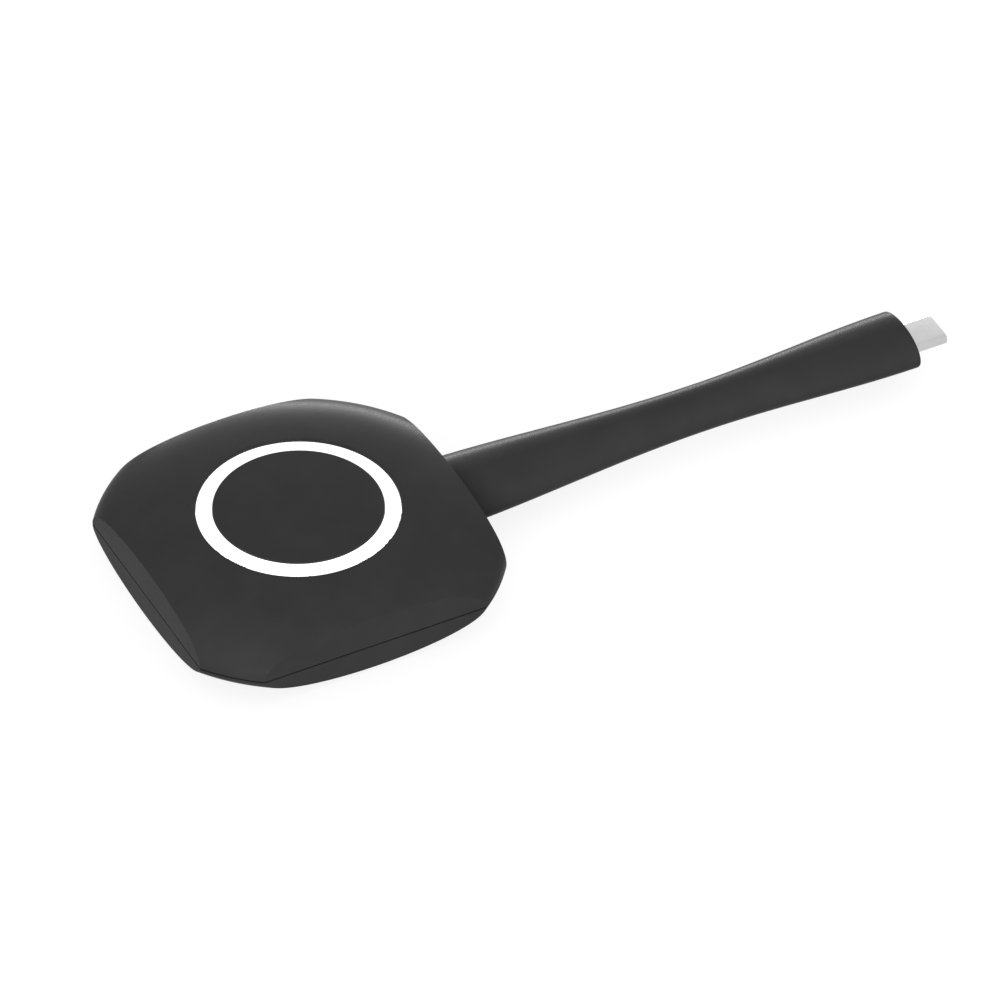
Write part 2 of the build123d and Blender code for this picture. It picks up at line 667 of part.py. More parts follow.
# Antennas: stamped strips that stand on feet along two edges of the board
for side, name in ((1, "antenna_left"), (-1, "antenna_right")):
    edge_y = side * (BOARD_SIZE / 2 - ANTENNA_INSET)
    with BuildPart() as antenna:
        with BuildSketch(Plane.XY.offset(BOARD_TOP + ANTENNA_HEIGHT / 2)):
            with Locations((0, edge_y)):
                Rectangle(ANTENNA_LENGTH, ANTENNA_THICK)
        extrude(amount=ANTENNA_HEIGHT / 2)
        with BuildSketch(Plane.XY.offset(BOARD_TOP)):
            with Locations((-ANTENNA_FOOT_PITCH / 2, edge_y), (ANTENNA_FOOT_PITCH / 2, edge_y)):
                Rectangle(ANTENNA_FOOT, ANTENNA_THICK)
        extrude(amount=ANTENNA_HEIGHT / 2)
    antenna.part.label = name
    export_step(antenna.part, f"parts/{name}.step")

# Cable header on the board, and the connector that plugs into it
header_end = HEADER_X + HEADER_LENGTH
tongue_width = HEADER_WIDTH - 2 * HEADER_WALL - 2 * FIT
tongue_height = HEADER_HEIGHT - 2 * HEADER_WALL - 2 * FIT
tongue_z = BOARD_TOP + HEADER_HEIGHT / 2
with BuildPart() as board_header:
    with BuildSketch(across(HEADER_X, tongue_z)):
        Rectangle(HEADER_WIDTH, HEADER_HEIGHT)
    extrude(amount=HEADER_LENGTH)
    with BuildSketch(across(HEADER_X + HEADER_WALL, tongue_z)):
        Rectangle(tongue_width + 2 * FIT, tongue_height + 2 * FIT)
    extrude(amount=HEADER_LENGTH, mode=Mode.SUBTRACT)
board_header.part.label = "board_header"
export_step(board_header.part, "parts/board_header.step")

with BuildPart() as cable_connector:
    with BuildSketch(across(header_end, CABLE_Z)):
        Rectangle(CONNECTOR_WIDTH, CONNECTOR_HEIGHT)
    extrude(amount=CONNECTOR_LENGTH)
    with BuildSketch(across(HEADER_X + HEADER_WALL + FIT, tongue_z)):
        Rectangle(tongue_width, tongue_height)
    extrude(amount=HEADER_LENGTH - HEADER_WALL - FIT)
cable_connector.part.label = "cable_connector"
export_step(cable_connector.part, "parts/cable_connector.step")

# Cable: it runs straight through the stem, from the connector to the plug's inner mould
with BuildPart() as data_cable:
    with BuildSketch(across(header_end + CONNECTOR_LENGTH, CABLE_Z)):
        Circle(CABLE_DIAMETER / 2)
    extrude(amount=MOULD_X - header_end - CONNECTOR_LENGTH)
data_cable.part.label = "data_cable"
export_step(data_cable.part, "parts/data_cable.step")

# Stem: one soft moulding, oval in section and waisted, from the flange inside the puck to the crowned
# end round the plug
with BuildPart() as stem_overmould:
    for span in range(STEM_SPANS + 1):
        station = STEM_ROOT + (STEM_END - STEM_ROOT) * span / STEM_SPANS
        with BuildSketch(across(station, CABLE_Z)):
            Ellipse(
                stem_size(station, ROOT_WIDTH, WAIST_WIDTH, END_WIDTH) / 2,
                stem_size(station, ROOT_THICK, WAIST_THICK, END_THICK) / 2,
            )
    loft()
    for ring in range(CROWN_RINGS):
        share = 1 - ring / CROWN_RINGS
        with BuildSketch(across(STEM_END + STEM_CROWN * (1 - share**3), CABLE_Z)):
            Ellipse(share * END_WIDTH / 2, share * END_THICK / 2)
    loft(ruled=True)
    with BuildSketch(across(FLANGE_X + FLANGE_LENGTH, CABLE_Z)):
        Ellipse(NECK_WIDTH / 2, NECK_THICK / 2)
    extrude(amount=STEM_ROOT - FLANGE_X - FLANGE_LENGTH)
    with BuildSketch(across(FLANGE_X, CABLE_Z)):
        RectangleRounded(FLANGE_WIDTH, FLANGE_THICK, FLANGE_CORNER)
    extrude(amount=FLANGE_LENGTH)
    with BuildSketch(across(FLANGE_X, CABLE_Z)):
        Circle(CABLE_DIAMETER / 2 + CABLE_FIT)
    extrude(amount=MOULD_X - FLANGE_X, mode=Mode.SUBTRACT)
    with BuildSketch(across(MOULD_X, SEAM_Z)):
        RectangleRounded(MOULD_WIDTH, MOULD_HEIGHT, MOULD_CORNER)
    extrude(amount=MOULD_LENGTH, mode=Mode.SUBTRACT)
    with BuildSketch(across(PLUG_ROOT, SEAM_Z)):
        RectangleRounded(PLUG_WIDTH, PLUG_HEIGHT, PLUG_CORNER)
    extrude(amount=PLUG_LENGTH, mode=Mode.SUBTRACT)
stem_overmould.part.label = "stem_overmould"
export_step(stem_overmould.part, "parts/stem_overmould.step")

# Inner mould: hard plastic around the shielding can, where the cable meets the plug
with BuildPart() as plug_inner_mould:
    with BuildSketch(across(MOULD_X, SEAM_Z)):
        RectangleRounded(MOULD_WIDTH, MOULD_HEIGHT, MOULD_CORNER)
    extrude(amount=MOULD_LENGTH)
    with BuildSketch(across(CAN_X, SEAM_Z)):
        RectangleRounded(CAN_WIDTH, CAN_HEIGHT, PLUG_CORNER)
    extrude(amount=MOULD_LENGTH, mode=Mode.SUBTRACT)
plug_inner_mould.part.label = "plug_inner_mould"
export_step(plug_inner_mould.part, "parts/plug_inner_mould.step")

# Shielding can: a folded steel sleeve over the plug's small board, lapped onto the plug's shell
with BuildPart() as plug_backshell:
    with BuildSketch(across(CAN_X, SEAM_Z)):
        RectangleRounded(CAN_WIDTH, CAN_HEIGHT, PLUG_CORNER)
    extrude(amount=CAN_LENGTH)
    with BuildSketch(across(CAN_X + CAN_WALL, SEAM_Z)):
        RectangleRounded(CAN_WIDTH - 2 * CAN_WALL, CAN_HEIGHT - 2 * CAN_WALL, PLUG_CORNER - CAN_WALL)
    extrude(amount=CAN_LENGTH, mode=Mode.SUBTRACT)
plug_backshell.part.label = "plug_backshell"
export_step(plug_backshell.part, "parts/plug_backshell.step")

# Plug shell: a drawn steel tube with rounded sides
with BuildPart() as plug_shell:
    with BuildSketch(across(PLUG_ROOT, SEAM_Z)):
        RectangleRounded(PLUG_WIDTH, PLUG_HEIGHT, PLUG_CORNER)
        offset(amount=-PLUG_WALL, mode=Mode.SUBTRACT)
    extrude(amount=PLUG_LENGTH)
plug_shell.part.label = "plug_shell"
export_step(plug_shell.part, "parts/plug_shell.step")

# Contacts: two rows of spring strips, whose tails are soldered to the small board's faces
contact_start = PLUG_ROOT - CONTACT_TAIL
contact_z = (PADDLE_THICK + CONTACT_THICK) / 2
with BuildPart() as plug_contacts:
    with BuildSketch(across(contact_start, SEAM_Z)):
        with GridLocations(CONTACT_PITCH, 2 * contact_z, CONTACT_COUNT, 2):
            Rectangle(CONTACT_WIDTH, CONTACT_THICK)
    extrude(amount=PLUG_TIP - CONTACT_INSET - contact_start)
plug_contacts.part.label = "plug_contacts"
export_step(plug_contacts.part, "parts/plug_contacts.step")

# Latches: a spring strip at each end of the plug's slot
latch_start = PLUG_TIP - INSULATOR_INSET - CONTACT_INSET - LATCH_LENGTH
with BuildPart() as plug_latches:
    with BuildSketch(across(latch_start, SEAM_Z)):
        with GridLocations(SLOT_WIDTH, 0, 2, 1):
            Rectangle(LATCH_THICK, LATCH_HEIGHT)
    extrude(amount=LATCH_LENGTH)
plug_latches.part.label = "plug_latches"
export_step(plug_latches.part, "parts/plug_latches.step")

# Insulator: the moulded core of the plug, with the slot that takes a socket's tongue
gap = PLUG_WALL + PLUG_FIT
with BuildPart() as plug_insulator:
    with BuildSketch(across(PLUG_ROOT + PLUG_WALL, SEAM_Z)):
        RectangleRounded(PLUG_WIDTH - 2 * gap, PLUG_HEIGHT - 2 * gap, PLUG_CORNER - gap)
    extrude(amount=PLUG_LENGTH - PLUG_WALL - INSULATOR_INSET)
    with BuildSketch(across(PLUG_TIP - INSULATOR_INSET - SLOT_DEPTH, SEAM_Z)):
        Rectangle(SLOT_WIDTH, SLOT_HEIGHT)
    extrude(amount=SLOT_DEPTH, mode=Mode.SUBTRACT)
    add(plug_contacts.part, mode=Mode.SUBTRACT)
    add(plug_latches.part, mode=Mode.SUBTRACT)
plug_insulator.part.label = "plug_insulator"
export_step(plug_insulator.part, "parts/plug_insulator.step")

# Paddle board: the small board between the cable's wires and the contacts
with BuildPart() as plug_paddle_board:
    with BuildSketch(Plane.XY.offset(SEAM_Z - PADDLE_THICK / 2)):
        with Locations((PLUG_ROOT, 0)):
            Rectangle(PADDLE_LENGTH, PADDLE_WIDTH, align=(Align.MAX, Align.CENTER))
    extrude(amount=PADDLE_THICK)
plug_paddle_board.part.label = "plug_paddle_board"
export_step(plug_paddle_board.part, "parts/plug_paddle_board.step")
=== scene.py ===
import bmesh
import bpy
from math import cos, pi, radians, sin
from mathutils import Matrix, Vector


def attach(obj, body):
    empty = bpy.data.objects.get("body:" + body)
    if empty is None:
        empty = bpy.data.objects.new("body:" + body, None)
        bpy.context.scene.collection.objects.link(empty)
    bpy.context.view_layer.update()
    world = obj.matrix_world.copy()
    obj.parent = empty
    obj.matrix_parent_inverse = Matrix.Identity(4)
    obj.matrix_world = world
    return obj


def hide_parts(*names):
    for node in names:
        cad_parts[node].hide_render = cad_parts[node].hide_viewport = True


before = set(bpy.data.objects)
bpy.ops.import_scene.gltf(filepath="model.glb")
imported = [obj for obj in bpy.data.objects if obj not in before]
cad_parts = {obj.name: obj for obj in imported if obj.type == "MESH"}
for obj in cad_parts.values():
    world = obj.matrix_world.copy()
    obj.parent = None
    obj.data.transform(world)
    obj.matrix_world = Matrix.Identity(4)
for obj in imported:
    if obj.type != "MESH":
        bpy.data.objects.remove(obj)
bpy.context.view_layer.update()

# Viewpoint: a long lens that looks down on the dongle over its -X, -Y corner. The picture's middle
# lies a little to the right of the puck's. SEAM_Z is the height at which the puck's shells meet.
MM = 0.001
SEAM_Z = 6.7 * MM
VIEW_TURN = radians(27.23)
VIEW_DROP = radians(41.03)
VIEW_DISTANCE = 2353.3 * MM
SHOT_RIGHT = 41.11 * MM
SHOT_UP = 9.05 * MM
LENS = 414
SENSOR = 36
NEAREST = 0.1
FARTHEST = 50

bpy.ops.object.camera_add(rotation=(pi / 2 - VIEW_DROP, 0, -VIEW_TURN))
camera = bpy.context.object
camera.data.lens = LENS
camera.data.sensor_width = SENSOR
camera.data.clip_start = NEAREST
camera.data.clip_end = FARTHEST
from_puck = camera.rotation_euler.to_matrix() @ Vector((SHOT_RIGHT, SHOT_UP, VIEW_DISTANCE))
camera.location = Vector((0, 0, SEAM_Z)) + from_puck
bpy.context.scene.camera = camera


# Studio floor: a seamless sheet of white paper that keeps a faint shadow of the dongle. It shows
# white to the camera and in reflections, and can be looked through from below.
FLOOR_SIZE = 40.0
FLOOR_GAP = 0.02 * MM
FLOOR_TONE = 0.26
FLOOR_WHITE = 0.83


class Strand:
    """An output of a shader node. Arithmetic on it adds Math nodes to the finish."""

    def __init__(self, finish, socket):
        self.finish = finish
        self.socket = socket

    def maths(self, operation, first, second):
        return self.finish.node("ShaderNodeMath", {"operation": operation}, {0: first, 1: second})

    def __add__(self, other):
        return self.maths("ADD", self, other)

    def __sub__(self, other):
        return self.maths("SUBTRACT", self, other)

    def __rsub__(self, other):
        return self.maths("SUBTRACT", other, self)

    def __mul__(self, other):
        return self.maths("MULTIPLY", self, other)

    def __lt__(self, other):
        return self.maths("LESS_THAN", self, other)

    __radd__ = __add__
    __rmul__ = __mul__


class Finish:
    """The nodes of a material or of the world. Patterns are in the object's own metres."""

    def __init__(self, owner, end="ShaderNodeOutputMaterial"):
        self.owner = owner
        owner.use_nodes = True
        self.tree = owner.node_tree
        self.tree.nodes.clear()
        self.end = self.tree.nodes.new(end)

    def node(self, kind, settings=(), inputs=(), output=0):
        """Adds a node, sets it up, then gives its sockets their values or links."""
        made = self.tree.nodes.new(kind)
        for name, value in dict(settings).items():
            setattr(made, name, value)
        for name, value in dict(inputs).items():
            if isinstance(value, Strand):
                self.tree.links.new(value.socket, made.inputs[name])
            else:
                made.inputs[name].default_value = value
        return Strand(self, made.outputs[output])

    def closed(self, shader):
        """Ends the finish with a shader."""
        self.tree.links.new(shader.socket, self.end.inputs["Surface"])
        return self.owner

    def shown(self, hidden, seen):
        """One strength for light that falls on the dongle, another for camera and reflections."""
        rays = ("Is Camera Ray", "Is Glossy Ray", "Is Transmission Ray")
        camera_ray, glossy_ray, transmission_ray = (
            self.node("ShaderNodeLightPath", output=ray) for ray in rays
        )
        any_ray = camera_ray + glossy_ray + transmission_ray
        span = {"Value": any_ray, "To Min": hidden, "To Max": seen}
        return self.node("ShaderNodeMapRange", inputs=span)


def grey(level):
    """A neutral colour of one linear level."""
    return (level, level, level, 1)


bpy.ops.object.select_all(action="DESELECT")
bpy.ops.mesh.primitive_plane_add(size=FLOOR_SIZE, location=(0, 0, -FLOOR_GAP))
floor = bpy.context.object
floor.name = "floor"
paper = Finish(bpy.data.materials.new("paper"))
matte = paper.node("ShaderNodeBsdfDiffuse", inputs={"Color": grey(FLOOR_TONE)})
white = paper.node("ShaderNodeEmission", inputs={"Strength": paper.shown(0, FLOOR_WHITE)})
above = paper.node("ShaderNodeAddShader", inputs={0: matte, 1: white})
below = paper.node("ShaderNodeBsdfTransparent")
underside = paper.node("ShaderNodeNewGeometry", output="Backfacing")
floor.data.materials.append(
    paper.closed(paper.node("ShaderNodeMixShader", inputs={0: underside, 1: above, 2: below}))
)


# Studio light: a plain white surround, a low strip behind the dongle whose sheen runs along the
# puck's far edge, and a low panel in front to fill the near sides. Lamps are in metres and watts.
SURROUND = 0.7
SURROUND_SEEN = 1.0
LAMP_AIM = Vector((0.03, 0, 0.007))
AWAY = Vector((sin(VIEW_TURN), cos(VIEW_TURN), 0))
STRIP_LAMP = {
    "place": 0.8 * AWAY + Vector((0, 0, 0.045)),
    "width": 0.45,
    "height": 0.06,
    "power": 4.1,
}
PANEL_LAMP = {
    "place": -0.9 * AWAY + Vector((0, 0, 0.2)),
    "width": 0.8,
    "height": 0.3,
    "power": 6.0,
}

bpy.context.scene.view_settings.view_transform = "Standard"
bpy.context.scene.world = bpy.data.worlds.new("surround")
surround = Finish(bpy.context.scene.world, end="ShaderNodeOutputWorld")
daylight = {"Color": grey(1), "Strength": surround.shown(SURROUND, SURROUND_SEEN)}
surround.closed(surround.node("ShaderNodeBackground", inputs=daylight))

for name, lamp in (("strip_lamp", STRIP_LAMP), ("panel_lamp", PANEL_LAMP)):
    aim = (LAMP_AIM - lamp["place"]).to_track_quat("-Z", "Y").to_euler()
    bpy.ops.object.light_add(type="AREA", location=lamp["place"], rotation=aim)
    light = bpy.context.object
    light.name = name
    light.data.shape = "RECTANGLE"
    light.data.size = lamp["width"]
    light.data.size_y = lamp["height"]
    light.data.energy = lamp["power"]


# Lower shell: injection-moulded black plastic with a fine spark-eroded grain. It has a lip that
# fits inside the upper shell behind a dark parting groove, sleeves that carry the board over wells
# for the screws' heads, and a shallow well under it for the foot pad.
PUCK_FLAT = 69.7 * MM
PUCK_ROUND = 85.9 * MM
CROWN_RISE = 10.6 * MM
CROWN_FULLNESS = 0.69
UNDER_DROP = 9.8 * MM
UNDER_FULLNESS = 0.55
WALL = 1.8 * MM
FIT = 0.1 * MM
SEAM_GROOVE = 0.35 * MM
LIP = 0.85 * MM
LIP_HEIGHT = 1.2 * MM
PAD_PROUD = 0.5 * MM
PAD_DIAMETER = 58.0 * MM
PAD_THICK = 1.0 * MM
STEM_RISE = 0.5 * MM
AXIS_Z = SEAM_Z + STEM_RISE
NECK_WIDTH = 15.0 * MM
NECK_THICK = 6.8 * MM
POST_ORBIT = 26.3 * MM
POST_DIAMETER = 5.6 * MM
SCREW_DIAMETER = 2.0 * MM
HEAD_DIAMETER = 3.8 * MM
HEAD_TOP = 2.3 * MM
BOARD_UNDER = 4.1 * MM
BOARD_TOP = 5.1 * MM
SCREWS = 4
QUARTER_TURN = pi / 2
ABOVE_ALL = 40 * MM
CUT_THROUGH = 6 * WALL
PROFILE_STEPS = 40
TURN_STEPS = 192
OVAL_SIDES = 96
SMALL_SIDES = 48
WELD = 0.001 * MM
CREASE = radians(30)
NOISE_ROUGHNESS = 0.6
NOISE_MIDDLE = (0.3, 0.7)
FINE_DETAIL = 3.0
BROAD_PATCH = 9 * MM
TONE_SWING = 0.06
GLOSS_SWING = 0.05
GRAIN_STRENGTH = 0.35
MIX_SHARE, MIX_FIRST, MIX_SECOND, MIX_RESULT = 0, 6, 7, 2
PLASTIC = (0.0405, 0.0405, 0.041, 1)
PLASTIC_SHINE = 0.015
PLASTIC_ROUGHNESS = 0.32


def tinted(colour, factor):
    """A colour made lighter or darker by a factor."""
    return tuple(min(1.0, part * factor) for part in colour[:3]) + (1,)


class Skin(Finish):
    """A finish for a surface of the dongle."""

    def __init__(self, name):
        super().__init__(bpy.data.materials.new(name))
        self.place = self.node("ShaderNodeTexCoord", output="Object")

    def stretched(self, scale):
        """The object's coordinates, stretched by a scale along each axis."""
        return self.node("ShaderNodeMapping", inputs={"Vector": self.place, "Scale": scale})

    def grain(self, size, detail=2.0, place=None):
        """Noise with features of about the given size, from 0 to 1."""
        wave = {
            "Vector": place or self.place,
            "Scale": 1 / size,
            "Detail": detail,
            "Roughness": NOISE_ROUGHNESS,
        }
        return self.node("ShaderNodeTexNoise", inputs=wave)

    def spread(self, value, low, high):
        """A 0 to 1 pattern's middle range, stretched from low to high."""
        start, end = NOISE_MIDDLE
        span = {"Value": value, "From Min": start, "From Max": end, "To Min": low, "To Max": high}
        return self.node("ShaderNodeMapRange", inputs=span)

    def mixed(self, share, first, second):
        """Two colours mixed by a share from 0 to 1. Only numbers tell these sockets apart."""
        parts = {MIX_SHARE: share, MIX_FIRST: first, MIX_SECOND: second}
        return self.node("ShaderNodeMix", {"data_type": "RGBA"}, parts, MIX_RESULT)

    def relief(self, height, strength, depth):
        """A bumpy surface."""
        bumps = {"Height": height, "Strength": strength, "Distance": depth}
        return self.node("ShaderNodeBump", inputs=bumps)

    def surface(self, **inputs):
        """Ends the finish with a surface shader, whose sockets are named with underscores."""
        named = {name.replace("_", " "): value for name, value in inputs.items()}
        return self.closed(self.node("ShaderNodeBsdfPrincipled", inputs=named))


def moulded(name, colour, roughness, grain_size, grain_depth, shine=0.5):
    """Moulded plastic or rubber: a fine grain, and a faint broad variation of tone and gloss."""
    skin = Skin(name)
    fine = skin.grain(grain_size, FINE_DETAIL)
    broad = skin.spread(skin.grain(BROAD_PATCH), 0.0, 1.0)
    tone = skin.mixed(broad, tinted(colour, 1 - TONE_SWING), tinted(colour, 1 + TONE_SWING))
    gloss = skin.spread(fine, roughness - GLOSS_SWING, roughness + GLOSS_SWING)
    relief = skin.relief(fine, GRAIN_STRENGTH, grain_depth)
    return skin.surface(Base_Color=tone, Roughness=gloss, Normal=relief, Specular_IOR_Level=shine)


def deselect():
    """Leaves edit mode and selects nothing."""
    if bpy.context.object and bpy.context.object.mode != "OBJECT":
        bpy.ops.object.mode_set(mode="OBJECT")
    bpy.ops.object.select_all(action="DESELECT")


def turned(name, points, smooth=(), closed=False):
    """A form turned about the Z axis from points of radius and height.

    A smooth run is given by the number of its first point and by its two handles.
    """
    deselect()
    bpy.ops.curve.primitive_bezier_curve_add(location=(0, 0, 0))
    outline = bpy.context.object
    outline.name = name
    outline.data.resolution_u = PROFILE_STEPS
    run = outline.data.splines[0]
    run.bezier_points.add(len(points) - 2)
    run.use_cyclic_u = closed
    for corner, (radius, height) in zip(run.bezier_points, points):
        corner.handle_left_type = "VECTOR"
        corner.handle_right_type = "VECTOR"
        corner.co = (radius, 0, height)
    for start, leaving, arriving in smooth:
        run.bezier_points[start].handle_right_type = "FREE"
        run.bezier_points[start].handle_right = (leaving[0], 0, leaving[1])
        run.bezier_points[start + 1].handle_left_type = "FREE"
        run.bezier_points[start + 1].handle_left = (arriving[0], 0, arriving[1])
    bpy.ops.object.convert(target="MESH")
    bpy.ops.object.mode_set(mode="EDIT")
    bpy.ops.mesh.select_all(action="SELECT")
    bpy.ops.mesh.spin(steps=TURN_STEPS, angle=2 * pi, center=(0, 0, 0), axis=(0, 0, 1))
    bpy.ops.mesh.select_all(action="SELECT")
    bpy.ops.mesh.remove_doubles(threshold=WELD)
    bpy.ops.mesh.normals_make_consistent(inside=False)
    bpy.ops.object.mode_set(mode="OBJECT")
    return bpy.context.object


def sliced(piece, place, normal):
    """Cuts a closed form by a plane, takes away what lies beyond it, and closes the cut."""
    bpy.context.view_layer.objects.active = piece
    bpy.ops.object.mode_set(mode="EDIT")
    bpy.ops.mesh.select_all(action="SELECT")
    bpy.ops.mesh.bisect(
        plane_co=place, plane_no=normal, use_fill=True, clear_outer=True, threshold=WELD
    )
    bpy.ops.object.mode_set(mode="OBJECT")


def pebble(name, inset, low, high):
    """The puck's lens-like form between two heights, with four flats, drawn in by an inset."""
    reach = PUCK_ROUND / 2 - inset
    rise = CROWN_RISE - inset
    drop = UNDER_DROP - inset
    bottom = SEAM_Z - drop
    top = SEAM_Z + rise
    under_run = (0, (UNDER_FULLNESS * reach, bottom), (reach, SEAM_Z - UNDER_FULLNESS * drop))
    crown_run = (1, (reach, SEAM_Z + CROWN_FULLNESS * rise), (CROWN_FULLNESS * reach, top))
    outline = [(0, bottom), (reach, SEAM_Z), (0, top)]
    form = turned(name, outline, smooth=(under_run, crown_run))
    for axis in (Vector((1, 0, 0)), Vector((0, 1, 0))):
        for side in (-1, 1):
            sliced(form, side * axis * (PUCK_FLAT / 2 - inset), side * axis)
    sliced(form, (0, 0, max(low, PAD_PROUD + inset)), (0, 0, -1))
    if high < top:
        sliced(form, (0, 0, high), (0, 0, 1))
    return form


def combined(piece, tool, way):
    """Joins another closed form to the piece, or cuts it away."""
    deselect()
    bpy.context.view_layer.objects.active = piece
    change = piece.modifiers.new(tool.name, "BOOLEAN")
    change.operation = way
    change.solver = "EXACT"
    change.object = tool
    bpy.ops.object.modifier_apply(modifier=change.name)
    bpy.data.objects.remove(tool)


def rod(name, radius, low, high, place=(0, 0), sides=TURN_STEPS):
    """A round bar along Z, from one height to another."""
    deselect()
    middle = (*place, (low + high) / 2)
    bpy.ops.mesh.primitive_cylinder_add(
        vertices=sides, radius=radius, depth=high - low, location=middle
    )
    made = bpy.context.object
    made.name = name
    bpy.ops.object.transform_apply(location=True, rotation=True, scale=True)
    return made


def at_screws(name, radius, low, high):
    """Four round bars along Z as one form, on the axes of the screws."""
    turns = [QUARTER_TURN / 2 + screw * QUARTER_TURN for screw in range(SCREWS)]
    places = [(POST_ORBIT * cos(turn), POST_ORBIT * sin(turn)) for turn in turns]
    bars = [rod(name, radius, low, high, place, sides=SMALL_SIDES) for place in places]
    for bar in bars:
        bar.select_set(True)
    bpy.ops.object.join()
    return bpy.context.object


def lying_oval(name, width, thick, middle, length, sides):
    """An oval bar along X on the stem's axis."""
    deselect()
    bpy.ops.mesh.primitive_cylinder_add(
        vertices=sides,
        radius=1,
        depth=length,
        location=(middle, 0, AXIS_Z),
        rotation=(0, QUARTER_TURN, 0),
    )
    made = bpy.context.object
    made.name = name
    made.scale = (thick / 2, width / 2, 1)
    bpy.ops.object.transform_apply(location=True, rotation=True, scale=True)
    return made


def neck_hole():
    """The way out for the stem's neck. Each shell has half of it."""
    width = NECK_WIDTH + 2 * FIT
    thick = NECK_THICK + 2 * FIT
    return lying_oval("neck_hole", width, thick, PUCK_FLAT / 2, CUT_THROUGH, OVAL_SIDES)


def settle(piece, body, material, nodes):
    """Shades and dresses a finished piece, and sets it on its body in place of its solids."""
    deselect()
    piece.select_set(True)
    bpy.context.view_layer.objects.active = piece
    bpy.ops.object.transform_apply(location=True, rotation=True, scale=True)
    bpy.ops.object.shade_smooth_by_angle(angle=CREASE)
    piece.data.materials.clear()
    piece.data.materials.append(material)
    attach(piece, body)
    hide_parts(*nodes)


housing_plastic = moulded(
    "housing_plastic",
    PLASTIC,
    roughness=PLASTIC_ROUGHNESS,
    grain_size=0.35 * MM,
    grain_depth=0.02 * MM,
    shine=PLASTIC_SHINE,
)

lower_shell = pebble("lower_shell", 0, 0, SEAM_Z - SEAM_GROOVE / 2)
lip = pebble("lip", WALL - LIP + FIT, SEAM_Z - LIP_HEIGHT, SEAM_Z + LIP_HEIGHT)
combined(lower_shell, lip, "UNION")
combined(lower_shell, pebble("lower_hollow", WALL, 0, ABOVE_ALL), "DIFFERENCE")
sleeves = at_screws("sleeves", POST_DIAMETER / 2, PAD_THICK, BOARD_UNDER)
combined(lower_shell, sleeves, "UNION")
pad_well = rod("pad_well", PAD_DIAMETER / 2 + FIT, -PAD_THICK, PAD_THICK)
combined(lower_shell, pad_well, "DIFFERENCE")
head_wells = at_screws("head_wells", HEAD_DIAMETER / 2 + FIT, -PAD_THICK, HEAD_TOP)
combined(lower_shell, head_wells, "DIFFERENCE")
shank_holes = at_screws("shank_holes", SCREW_DIAMETER / 2 + FIT, 0, BOARD_TOP)
combined(lower_shell, shank_holes, "DIFFERENCE")
combined(lower_shell, neck_hole(), "DIFFERENCE")
settle(lower_shell, "puck", housing_plastic, ["bottom_housing"])


# Foot pad: a die-cut disc of soft matte rubber with a softened edge, glued into the well under the
# lower shell, where it hides the screws.
PAD_EDGE = 0.3 * MM
PAD_RUBBER = (0.018, 0.018, 0.019, 1)


def choose_edges(test):
    """Selects the edges of the open mesh that pass a test."""
    bpy.ops.mesh.select_mode(type="EDGE")
    bpy.ops.mesh.select_all(action="DESELECT")
    form = bmesh.from_edit_mesh(bpy.context.object.data)
    for edge in form.edges:
        if test(edge):
            edge.select_set(True)
    form.select_flush_mode()
    bmesh.update_edit_mesh(bpy.context.object.data)


def rounded(piece, width, test, segments):
    """Rounds the edges of the piece that pass a test."""
    deselect()
    bpy.context.view_layer.objects.active = piece
    bpy.ops.object.mode_set(mode="EDIT")
    choose_edges(test)
    bpy.ops.mesh.bevel(offset=width, segments=segments, affect="EDGES", clamp_overlap=False)
    bpy.ops.object.mode_set(mode="OBJECT")


def round_the_foot(edge):
    """The pad's lower edge."""
    return all(corner.co.z < WELD for corner in edge.verts)


rubber_foot = rod("rubber_foot", PAD_DIAMETER / 2, 0, PAD_THICK)
rounded(rubber_foot, PAD_EDGE, round_the_foot, segments=3)
foot_rubber = moulded(
    "foot_rubber", PAD_RUBBER, roughness=0.75, grain_size=0.25 * MM, grain_depth=0.03 * MM
)
settle(rubber_foot, "puck", foot_rubber, ["foot_pad"])


# Housing screws: four blackened steel pan-head screws with a cross drive. They pass up through the
# lower shell's sleeves and the board into the upper shell's posts.
BLACK_STEEL = (0.16, 0.16, 0.165, 1)
STREAK_GRAIN = 0.12 * MM
STREAK_STRENGTH = 0.2
METAL_PATCH = 3 * MM
METAL_TONES = (0.95, 1.03)
METAL_GLOSS = (-0.05, 0.07)


def metal(name, colour, roughness, streak, depth):
    """Bare metal with fine streaks along X from drawing or rolling."""
    skin = Skin(name)
    brushed = skin.grain(STREAK_GRAIN, FINE_DETAIL, skin.stretched((streak, 1, 1)))
    broad = skin.spread(skin.grain(METAL_PATCH), 0.0, 1.0)
    tone = skin.mixed(broad, *(tinted(colour, factor) for factor in METAL_TONES))
    gloss = skin.spread(brushed, *(roughness + change for change in METAL_GLOSS))
    relief = skin.relief(brushed, STREAK_STRENGTH, depth)
    return skin.surface(Base_Color=tone, Metallic=1.0, Roughness=gloss, Normal=relief)


def dress(material, *nodes):
    """Gives carried-over solids their finish."""
    for node in nodes:
        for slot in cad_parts[node].material_slots:
            slot.material = material


black_steel = metal("black_steel", BLACK_STEEL, roughness=0.4, streak=1.0, depth=0.005 * MM)
dress(black_steel, "housing_screws")


# Heat path: a rolled aluminium sheet on the lower shell's floor, and a soft blue-grey silicone pad
# that fills the gap between the sheet and the processor.
ALUMINIUM = (0.8, 0.8, 0.81, 1)
SILICONE = (0.35, 0.42, 0.55, 1)

rolled_aluminium = metal(
    "rolled_aluminium", ALUMINIUM, roughness=0.38, streak=0.03, depth=0.003 * MM
)
gap_filler = moulded(
    "gap_filler", SILICONE, roughness=0.7, grain_size=0.4 * MM, grain_depth=0.03 * MM
)
dress(rolled_aluminium, "heat_spreader")
dress(gap_filler, "thermal_pad")


